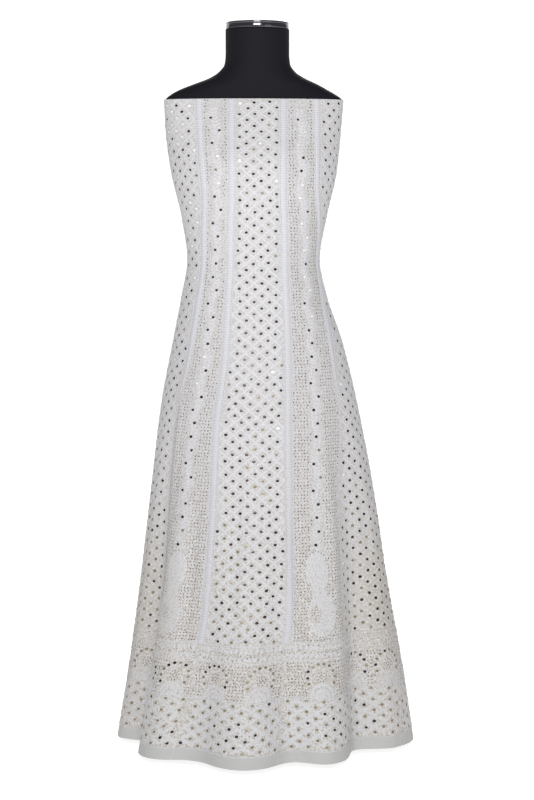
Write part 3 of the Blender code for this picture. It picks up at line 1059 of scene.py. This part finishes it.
# %% Border rows
TRELLIS_BAND_TOP = 124.0
ARCH_BAND_TOP = 200.0
BORDER_DIAMOND = Diamond(18.0, 18.0, 11.0, 11.0, 6.2)
MOTIF_STEP = 98.0
ARCH_RADIUS = 28.0
ARCH_RISE = 35.0
LOTUS_ROWS = [(0.0, 7), (9.0, 10), (18.5, 15)]
LOTUS_SPREAD, LOTUS_SIZE = 92, 1.1
LOTUS_HALF, LOTUS_TALL = 30, 16
EYELET_ROWS = [(3.5, 4), (9.0, 9)]
EYELET_RISE = 3
ARCH_TURNS = np.radians(np.linspace(-22, 202, 10))
ARCH = np.column_stack([ARCH_RADIUS * np.cos(ARCH_TURNS), ARCH_RADIUS * np.sin(ARCH_TURNS)])
ARCH_CLEAR = 5
SPRIG_STEP, SPRIG_LEAN, SPRIG_SIZE = 5.2, 30.0, 1.1
SPRIG_ROOT, SPECK_CLEAR = 3, 4
# A raised line's distance up the cloth, its width and its height.
BORDER_LINES = [
    (MARGIN_TOP, 2.4, 0.9), (TRELLIS_BAND_TOP, 2.6, 0.7), (TRELLIS_BAND_TOP + 4, 1.6, 0.6),
    (ARCH_BAND_TOP, 2.4, 0.7), (BORDER_TOP, 2.6, 0.7),
]


def around(u, v, radius, leans, size):
    """Stamp rows on an arc about (u, v), each turned outwards."""
    leans = np.asarray(leans, dtype=float)
    a = np.radians(leans)
    return np.column_stack([u - radius * np.sin(a), v + radius * np.cos(a), leans, np.full(len(a), size)])


def lotus(work, u, v):
    """A lotus of small petals in rows, with eyelets above it and an arch of mirrors round them."""
    for radius, petals in LOTUS_ROWS:
        leans = np.linspace(-LOTUS_SPREAD, LOTUS_SPREAD, petals)
        work.stamp(PETAL, around(u, v, radius, leans, LOTUS_SIZE), FLOSS)
    centre = v + ARCH_RISE
    for radius, eyelets in EYELET_ROWS:
        leans = np.arange(eyelets) * 360 / eyelets
        work.stamp(DOT, around(u, centre + EYELET_RISE, radius, leans, 0.9), STRIP)
    set_mirrors(work, ARCH + (u, centre))


def border(work):
    """All the rows of the border, from the bare margin up."""
    cloth = work.cloth
    for v, width, height in BORDER_LINES:
        room = half_width(cloth, v) - 0.5
        u = np.linspace(-room, room, max(8, int(room / 4)))
        work.line(np.column_stack([u, np.full(len(u), v)]), width, height, FLOSS)
    trellis(work, MARGIN_TOP + 2, TRELLIS_BAND_TOP - 1, BORDER_DIAMOND)
    foot = TRELLIS_BAND_TOP + 5
    room = half_width(cloth, foot + ARCH_RISE) - BORDER_SEAM
    motifs = max(1, round(2 * room / MOTIF_STEP))
    centres = [-room + (k + 0.5) * 2 * room / motifs for k in range(motifs)]
    for u in centres:
        lotus(work, u, foot)

    def taken(u, v):
        near = np.zeros(len(u), dtype=bool)
        for u0 in centres:
            near |= np.hypot(u - u0, v - foot - ARCH_RISE) < ARCH_RADIUS + ARCH_CLEAR
            near |= (np.abs(u - u0) < LOTUS_HALF) & (v < foot + LOTUS_TALL)
        return near

    dotted_ground(work, TRELLIS_BAND_TOP + 4, ARCH_BAND_TOP, taken)
    strip_room = half_width(cloth, (ARCH_BAND_TOP + BORDER_TOP) / 2) - BORDER_SEAM - SPECK_CLEAR
    sprigs, specks = [], []
    for k, u in enumerate(np.arange(-strip_room, strip_room, SPRIG_STEP)):
        lean = SPRIG_LEAN if k % 2 else -SPRIG_LEAN
        sprigs.append((u, ARCH_BAND_TOP + SPRIG_ROOT, lean, SPRIG_SIZE))
        sprigs.append((u, BORDER_TOP - SPRIG_ROOT, 180 - lean, SPRIG_SIZE))
        for rise in chance.uniform(SPECK_CLEAR, BORDER_TOP - ARCH_BAND_TOP - SPECK_CLEAR, 2):
            specks.append((u + chance.uniform(-2, 2), ARCH_BAND_TOP + rise, 0, chance.uniform(0.5, 1)))
    work.stamp(LEAF, sprigs, FLOSS)
    work.stamp(SPECK, specks, STRIP)


print("border rows at", MARGIN_TOP, TRELLIS_BAND_TOP, ARCH_BAND_TOP, BORDER_TOP, "mm up the cloth")

# %% [markdown]
# ## Embroider the ten kalis
# Now each kali gets its work: the border first, then trellis or vine up to the top edge.

# %% Embroider
# How many mirrors get a painted glint high up, and how many more a painted bronze reflection low down.
MirrorMix = namedtuple("MirrorMix", "glints bronze")
VINE_MIX = MirrorMix(0.45, 0.0)
TRELLIS_MIX = {"front_side_left": MirrorMix(0.4, 0.5)}
USUAL_MIX = MirrorMix(0.02, 0.0)


def embroider(kali):
    cloth = MAPS[kali.name]
    mix = VINE_MIX if kali.vine else TRELLIS_MIX.get(kali.name, USUAL_MIX)
    feet = [BAND_FOOT.get(seam, BORDER_TOP) for seam in (kali.left, kali.right)]
    work = Needlework(cloth, feet, mix.glints, mix.bronze)
    border(work)
    top = cloth.v[-1] - TOP_CLEAR
    if not kali.vine:
        diamond, shift = (MIDDLE_DIAMOND, 0.5) if kali.name.endswith("centre") else (SIDE_DIAMOND, 0.0)
        trellis(work, BORDER_TOP + 2, top, diamond, shift)
        return work.finish("needlework_" + kali.name)
    side = -1 if kali.name.endswith("left") else 1
    outline = paisley(work, side, PAISLEY_SHIFT.get(kali.name, 0.0))
    vine(work, top)

    def taken(u, v):
        on_vine = (np.abs(u - vine_sway(v)) < VINE_ROOM) & (v > VINE_FOOT - 16)
        return on_vine | inside(outline, u, v)

    dotted_ground(work, BORDER_TOP + 2, top, taken)
    return work.finish("needlework_" + kali.name)


NEEDLEWORK = {kali.name: embroider(kali) for kali in KALIS}
for name, work in NEEDLEWORK.items():
    triangles = sum(len(p.vertices) - 2 for p in work.data.polygons)
    print(name, "needlework triangles:", triangles)

# %% [markdown]
# ## Stitched bands over the seams
# A band of close stitching, 18 mm wide, covers each seam between a trellis kali and a vine kali. The inner
# bands run down to the border, and the outer ones taper off high on the skirt. A band has a wide ladder
# between two thin cords, on a map whose middle line is the seam. Below it, and on the side seams, there is
# only a flat line of stitches. Like the floss, the bands are painted a little greyer low on the skirt, a
# painted shade. The ladder's rungs are 5 mm apart, with painted shade in the troughs between them. A wave
# texture of scale 1 repeats every 0.314 m, which gives its scale for any step.

# %% Seam bands
BAND_RIBS = [
    [(-9.2, 0.0), (-8.8, 0.55), (-7.5, 0.55), (-7.1, 0.0)],
    [(-6.0, 0.0), (-5.5, 0.5), (0.0, 0.6), (5.5, 0.5), (6.0, 0.0)],
    [(7.1, 0.0), (7.5, 0.55), (8.8, 0.55), (9.2, 0.0)],
]
TOPSTITCH = [(-0.6, 0.0), (-0.3, 0.2), (0.3, 0.2), (0.6, 0.0)]
BANDED_SEAMS = [
    back + seam for back in ("", "back_")
    for seam in ("inner_left", "inner_right", "outer_left", "outer_right")
]
PLAIN_SEAMS = ["side_left", "side_right"]
LINE_FOOT = 1.0
BAND_END = CLOTH_LENGTH + 50
BAND_TAPER, BAND_TIP = 110.0, 0.15
BAND_CLEAR = 0.1
BAND_ROW = 7.0
NEAR_TURNS = 9.0
RUNG_STEP = 5.0
WAVE_LENGTH = 0.314
ladder, ladder_shader, ladder_place = new_material("satin_stitch_band", "BFBFC3", 0.62, Sheen_Weight=0.15)
rungs = add_node(
    ladder, "TexWave", bands_direction="Y", links={"Vector": (ladder_place, "UV")},
    values={"Scale": WAVE_LENGTH / (RUNG_STEP * MM), "Distortion": 0.6},
)
rung_bump = add_node(
    ladder, "Bump", values={"Strength": 0.6, "Distance": 0.0006}, links={"Height": (rungs, "Fac")}
)
feed(ladder, rung_bump, "Normal", ladder_shader, "Normal")
# Painted shade: the rungs' troughs, where the bump is low, are a little darker.
rung_tone_with_trough_shade = add_node(
    ladder, "Mix", data_type="RGBA", values={TONE_A: linear("BBBBC0"), TONE_B: linear("C5C5C9")},
    links={"Factor": (rungs, "Fac")},
)
# Painted shade: the bands are a little greyer low on the skirt.
ladder_spot = add_node(ladder, "SeparateXYZ", links={"Vector": (ladder_place, "Object")})
ladder_low_shade = add_node(
    ladder, "MapRange", values={"From Min": 0.45, "From Max": 0.95, "To Min": 0.9},
    links={"Value": (ladder_spot, "Z")},
)
ladder_tone = add_node(
    ladder, "Mix", data_type="RGBA", blend_type="MULTIPLY", values={"Factor": 1.0},
    links={TONE_A: (rung_tone_with_trough_shade, MIXED), TONE_B: (ladder_low_shade, "Result")},
)
feed(ladder, ladder_tone, MIXED, ladder_shader, "Base Color")


def make_band(seam, ribs, low, high, name):
    curve = seam_curve(seam)
    reach = ribs[-1][-1][0]
    cloth = cloth_map(lambda h: curve(h) - NEAR_TURNS, lambda h: curve(h) + NEAR_TURNS, half=reach + 0.5)
    v = np.linspace(low, min(high, cloth.v[-1] - TOP_CLEAR), int((high - low) / BAND_ROW))
    points, uv, faces = [], [], []
    for rib in ribs:
        across, lifts = np.array(rib).T
        u_grid, v_grid = np.meshgrid(across, v)
        if low > BORDER_TOP:
            u_grid = u_grid * np.interp(v_grid, [low, low + BAND_TAPER], [BAND_TIP, 1])
        lift = np.broadcast_to(lifts + BAND_CLEAR, u_grid.shape)
        faces += grid_faces(len(v), len(across), start=sum(map(len, points)))
        points.append(place(cloth, u_grid.ravel(), v_grid.ravel(), lift.ravel()))
        uv.append(np.stack([u_grid.ravel(), v_grid.ravel()], axis=-1))
    band = build_mesh(name, np.concatenate(points), faces, [ladder], uv=np.concatenate(uv))
    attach(band, "root")
    return band


BANDS = {}
for seam in BANDED_SEAMS:
    foot = BAND_FOOT.get(seam, BORDER_TOP)
    BANDS[seam] = [make_band(seam, BAND_RIBS, foot, BAND_END, "seam_band_" + seam)]
    BANDS[seam].append(make_band(seam, [TOPSTITCH], LINE_FOOT, foot, "seam_line_" + seam))
for seam in PLAIN_SEAMS:
    BANDS[seam] = [make_band(seam, [TOPSTITCH], LINE_FOOT, BAND_END, "seam_line_" + seam)]
print("seams covered:", len(BANDS))

# %% [markdown]
# Each kali was cut flat as a long gore. Its widest and longest sizes, and the flat area between, are
# measured from its own map.

# %% Measure the flat cuts
CUTS = {}


def declare_kali(kali):
    cloth = MAPS[kali.name]
    width = 2 * cloth.half.max() * MM
    length = cloth.v[-1] * MM
    area = float(np.sum((cloth.half[1:] + cloth.half[:-1]) * np.diff(cloth.v))) * MM * MM
    CUTS[kali.name] = (round(width * 1000), round(length * 1000), round(area, 3))


# %% [markdown]
# ## The dress form
# The form is a padded torso in tight black jersey, with a turned chrome cap on its neck. The jersey is
# knitted and matt, with hardly any shine. Its real stitches are under 1 mm and too fine for the render, so
# they are drawn at 1.5 mm. The cap is chromed brass, which shows as bright and dark lines round its rim,
# with smudges where hands have held it.

# %% Form cover
SKIN_TOP = 1222.0
CONTACT_LOW = 1230.0
CONTACT_GAP = 0.6
FORM_SIDES = 120
KNIT = Grain(size=1.5, depth=0.5, strength=0.3, detail=2.0)
jersey, _, _ = new_material("knitted_jersey_black", "0D0D14", 0.8, grain=KNIT, Specular_IOR_Level=0.22)


def closed_rings(name, rings, materials):
    """A closed body through rings of equal length, listed from the bottom up."""
    sides = len(rings[0])
    faces = [list(range(sides))[::-1], list(range((len(rings) - 1) * sides, len(rings) * sides))]
    for r in range(len(rings) - 1):
        for c in range(sides):
            a, b = r * sides + c, r * sides + (c + 1) % sides
            faces.append([a, b, b + sides, a + sides])
    return build_mesh(name, np.concatenate(rings), faces, materials)


def under_cloth(height, turns):
    """The form where the cloth lies on it: the gown's ring, in by the wall and a hair's gap."""
    step, turn = 1.0, 0.2
    here = ring(GOWN_SECTIONS, turns, height)
    side = ring(GOWN_SECTIONS, turns + turn, height) - ring(GOWN_SECTIONS, turns - turn, height)
    high, low = min(height + step, TOP_EDGE), height - step
    rise = ring(GOWN_SECTIONS, turns, high) - ring(GOWN_SECTIONS, turns, low)
    normal = np.cross(side, rise)
    normal /= np.linalg.norm(normal, axis=1, keepdims=True)
    return here - normal * (WALL + CONTACT_GAP)


form_turns = np.linspace(0, 360, FORM_SIDES, endpoint=False)
form_heights = np.linspace(FORM_SECTIONS[-1].height, SKIN_TOP, 60)
shoulder_heights = np.linspace(SHOULDER_SECTIONS[0].height, SHOULDER_SECTIONS[-1].height, 40)
form_rings = [ring(FORM_SECTIONS, form_turns, h) for h in form_heights]
form_rings += [under_cloth(h, form_turns) for h in np.linspace(CONTACT_LOW, TOP_EDGE, 9)]
form_rings += [ring(SHOULDER_SECTIONS, form_turns, h) for h in shoulder_heights]
form_cover = closed_rings("form_cover", form_rings, [jersey])
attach(form_cover, "root")
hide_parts("torso")
for kali in KALIS:
    declare_kali(kali)
print("cuts (width mm, length mm, area m2):", CUTS)

# %% Neck cap
NECK_CENTRE = 4.0
CAP_PROFILE = [
    (60.8, 1428.0), (61.6, 1428.4), (62.0, 1429.3), (62.0, 1436.6), (61.5, 1437.2), (61.5, 1437.8),
    (62.0, 1438.4), (62.0, 1440.2), (61.6, 1441.2), (60.8, 1441.8), (58.5, 1442.0), (30.0, 1442.0),
    (4.0, 1442.0),
]
SMUDGE_SIZE = 17.0
CAP_SIDES = 96
chrome, chrome_shader, chrome_place = new_material("chromed_brass", "626368", 0.12, metallic=1.0)
polish = add_node(
    chrome, "TexNoise", values={"Scale": 1 / (SMUDGE_SIZE * MM), "Detail": 2.0},
    links={"Vector": (chrome_place, "Object")},
)
smudge = add_node(
    chrome, "MapRange", values={"To Min": 0.06, "To Max": 0.16}, links={"Value": (polish, "Fac")}
)
feed(chrome, smudge, "Result", chrome_shader, "Roughness")
cap_rings = [circle(radius, height, CAP_SIDES) + (NECK_CENTRE, 0, 0) for radius, height in CAP_PROFILE]
neck_cap = closed_rings("turned_neck_cap", cap_rings, [chrome])
neck_cap.data.set_sharp_from_angle(angle=math.radians(50))
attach(neck_cap, "root")
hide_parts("neck_cap")
print("cap radius", CAP_PROFILE[3][0], "mm")

# %% [markdown]
# ## Pole and base
# These stay hidden behind the skirt, but the part is seen from below too. The pole is drawn steel tube,
# brushed round, and the base is cast iron in satin black enamel with a faint orange-peel surface.

# %% Pole and base finishes
BRUSH_MARK = (25.0, 25.0, 0.5)
ORANGE_PEEL = Grain(size=2.5, depth=0.3, strength=0.15, detail=2.0)
steel, steel_shader, steel_place = new_material("drawn_steel_tube", "B4B6BA", 0.3, metallic=1.0)
stretch = add_node(
    steel, "Mapping", values={"Scale": [1 / (size * MM) for size in BRUSH_MARK]},
    links={"Vector": (steel_place, "Object")},
)
brushing = add_node(steel, "TexNoise", values={"Scale": 1.0}, links={"Vector": (stretch, "Vector")})
brushed = add_node(
    steel, "MapRange", values={"To Min": 0.24, "To Max": 0.4}, links={"Value": (brushing, "Fac")}
)
feed(steel, brushed, "Result", steel_shader, "Roughness")
enamel, _, _ = new_material(
    "enamelled_cast_iron", "1B1B1D", 0.35, grain=ORANGE_PEEL, Coat_Weight=0.3, Coat_Roughness=0.2
)
for node, material in (("pole", steel), ("base", enamel)):
    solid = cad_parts[node]
    solid.data.materials.clear()
    solid.data.materials.append(material)
print("pole and base finished")

# %% [markdown]
# ## Studio
# The photograph is a bright, even catalogue shot on white. A lit paper sweep rises far behind the gown, and
# the room is a dim soft white. One large panel above the camera gives the folds their gentle shade, with a
# weak one on the right. Another hangs behind the gown, so that its back isn't left dull.

# %% Studio
bpy.context.scene.view_settings.view_transform = "Standard"
paper, paper_shader, _ = new_material("matt_paper_sweep", "B4B4B4", 0.9, Emission_Strength=0.85)
paper_shader.inputs["Emission Color"].default_value = linear("FFFFFF")
SWEEP_HALF, SWEEP_NEAR, SWEEP_FAR, SWEEP_TOP, SWEEP_BEND = 9.0, -9.0, 8.5, 6.0, 1.6
bend = [
    (SWEEP_FAR - SWEEP_BEND + SWEEP_BEND * math.sin(a), SWEEP_BEND - SWEEP_BEND * math.cos(a))
    for a in np.linspace(0, math.pi / 2, 15)
]
sweep = [(SWEEP_NEAR, 0.0), *bend, (SWEEP_FAR, SWEEP_TOP)]
sweep_points = [(x / MM, y / MM, z / MM) for y, z in sweep for x in (-SWEEP_HALF, SWEEP_HALF)]
sweep_faces = [[2 * k, 2 * k + 1, 2 * k + 3, 2 * k + 2] for k in range(len(sweep) - 1)]
paper_sweep = build_mesh("paper_sweep", sweep_points, sweep_faces, [paper])

world = bpy.data.worlds.new("studio")
world.use_nodes = True
world.node_tree.nodes["Background"].inputs["Color"].default_value = linear("FDFDFF")
world.node_tree.nodes["Background"].inputs["Strength"].default_value = 0.25
bpy.context.scene.world = world

Panel = namedtuple("Panel", "name place aim size power")
LIGHT_PANELS = [
    Panel("key_panel", (-0.3, -4.2, 2.8), (0, 0, 1.0), 1.8, 170),
    Panel("fill_panel", (2.6, -3.4, 1.2), (0, 0, 0.7), 1.8, 6),
    Panel("back_panel", (0.6, 4.2, 3.4), (0, 0, 0.7), 1.8, 100),
]
for panel in LIGHT_PANELS:
    light = bpy.data.lights.new(panel.name, "AREA")
    light.size = panel.size
    light.energy = panel.power
    lamp = bpy.data.objects.new(panel.name, light)
    bpy.context.scene.collection.objects.link(lamp)
    lamp.location = panel.place
    direction = np.array(panel.place) - np.array(panel.aim)
    flat = math.hypot(direction[0], direction[1])
    lamp.rotation_euler = (math.atan2(flat, direction[2]), 0, math.atan2(direction[0], -direction[1]))
print("lights:", len(LIGHT_PANELS))
